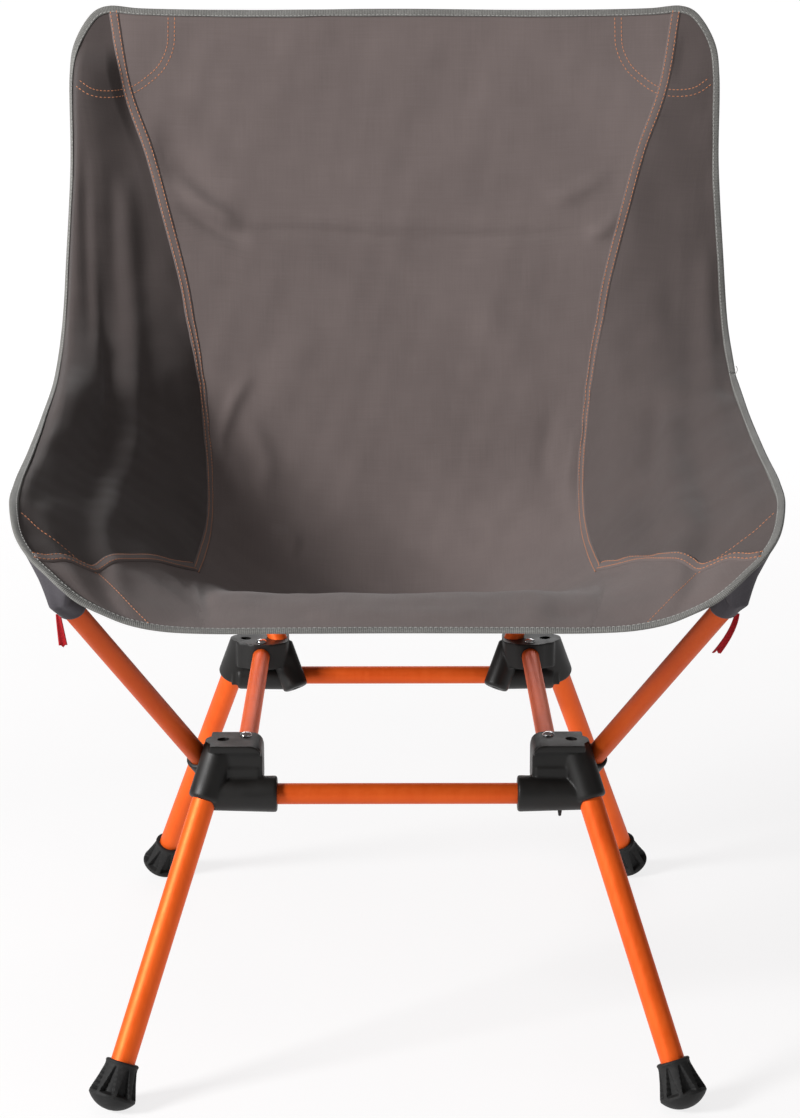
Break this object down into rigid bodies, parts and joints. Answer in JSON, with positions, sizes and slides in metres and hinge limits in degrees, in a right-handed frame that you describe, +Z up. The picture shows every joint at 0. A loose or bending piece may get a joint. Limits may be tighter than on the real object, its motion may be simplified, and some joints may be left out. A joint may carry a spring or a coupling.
{
  "type": "camping chair",
  "caption": "Ultralight backpacking chair: shock-corded tube frame in moulded hubs, splayed legs with ribbed rubber feet, and a sewn fabric sling seat.",
  "frame": {"origin": "on the floor, under the middle of the chair's outer box", "axes": "+X to the right seen from the front, +Y from the front of the seat to the back, +Z up"},
  "size_m": [0.5276, 0.5487, 0.7271],
  "materials": {
    "tube_anodised": "satin anodised, metallic orange, drawn tube",
    "hub_plastic": "fine-textured black moulded nylon",
    "tip_plastic": "black moulded nylon",
    "foot_rubber": "matt black moulded rubber",
    "rivet_steel": "bright domed rivet",
    "ferrule_aluminium": "plain drawn aluminium",
    "shock_cord": "braided elastic cord",
    "sling_fabric": "plain-woven taupe grey polyester",
    "binding_tape": "ribbed grosgrain tape, light grey",
    "pocket_fabric": "dense dark grey reinforcement cloth",
    "tab_webbing": "red woven ribbon"
  },
  "bodies": {
    "frame": {"front_crossbar": "tube_anodised", "rear_crossbar": "tube_anodised", "side_rail_right": "tube_anodised", "side_rail_left": "tube_anodised", "seat_pole_right": "tube_anodised", "seat_pole_left": "tube_anodised", "back_pole_lower_right": "tube_anodised", "back_pole_lower_left": "tube_anodised", "back_pole_upper_right": "tube_anodised", "back_pole_upper_left": "tube_anodised", "front_hub_right": "hub_plastic", "front_hub_left": "hub_plastic", "rear_hub_right": "hub_plastic", "rear_hub_left": "hub_plastic", "crossbar_pin": "hub_plastic", "seat_pole_tip_right": "tip_plastic", "seat_pole_tip_left": "tip_plastic", "back_pole_tip_right": "tip_plastic", "back_pole_tip_left": "tip_plastic", "front_rivet_right": "rivet_steel", "front_rivet_left": "rivet_steel", "rear_rivet_right": "rivet_steel", "rear_rivet_left": "rivet_steel", "back_pole_ferrule_right": "ferrule_aluminium", "back_pole_ferrule_left": "ferrule_aluminium", "front_crossbar_cord": "shock_cord", "rear_crossbar_cord": "shock_cord", "seat_pole_cord_right": "shock_cord", "seat_pole_cord_left": "shock_cord", "back_pole_cord_right": "shock_cord", "back_pole_cord_left": "shock_cord", "sling_centre_panel": "sling_fabric", "sling_side_panel_right": "sling_fabric", "sling_side_panel_left": "sling_fabric", "edge_binding": "binding_tape", "front_pocket_right": "pocket_fabric", "front_pocket_left": "pocket_fabric", "rear_pocket_right": "pocket_fabric", "rear_pocket_left": "pocket_fabric"},
    "front_leg_right": {"front_leg_right": "tube_anodised", "front_foot_right": "foot_rubber", "front_leg_cord_right": "shock_cord"},
    "front_leg_left": {"front_leg_left": "tube_anodised", "front_foot_left": "foot_rubber", "front_leg_cord_left": "shock_cord"},
    "rear_leg_right": {"rear_leg_right": "tube_anodised", "rear_foot_right": "foot_rubber", "rear_leg_cord_right": "shock_cord"},
    "rear_leg_left": {"rear_leg_left": "tube_anodised", "rear_foot_left": "foot_rubber", "rear_leg_cord_left": "shock_cord"},
    "pull_tab_right": {"pull_tab_right": "tab_webbing"},
    "pull_tab_left": {"pull_tab_left": "tab_webbing"}
  },
  "joints": [
    {"name": "front_leg_pull_right", "type": "slide", "parent": "frame", "child": "front_leg_right", "axis": [0.2895, -0.3676, -0.8838], "range_m": [0, 0.045], "stiffness_N_per_m": 200, "springref_m": -0.05},
    {"name": "front_leg_pull_left", "type": "slide", "parent": "frame", "child": "front_leg_left", "axis": [-0.2895, -0.3676, -0.8838], "range_m": [0, 0.045], "stiffness_N_per_m": 200, "springref_m": -0.05},
    {"name": "rear_leg_pull_right", "type": "slide", "parent": "frame", "child": "rear_leg_right", "axis": [0.3014, 0.4111, -0.8603], "range_m": [0, 0.045], "stiffness_N_per_m": 200, "springref_m": -0.05},
    {"name": "rear_leg_pull_left", "type": "slide", "parent": "frame", "child": "rear_leg_left", "axis": [-0.3014, 0.4111, -0.8603], "range_m": [0, 0.045], "stiffness_N_per_m": 200, "springref_m": -0.05},
    {"name": "pull_tab_swing_right", "type": "hinge", "parent": "frame", "child": "pull_tab_right", "pos_m": [0.2234, -0.2351, 0.3499], "axis": [1, 0, 0], "range_deg": [-40, 40]},
    {"name": "pull_tab_swing_left", "type": "hinge", "parent": "frame", "child": "pull_tab_left", "pos_m": [-0.2234, -0.2351, 0.3499], "axis": [1, 0, 0], "range_deg": [-40, 40]}
  ]
}
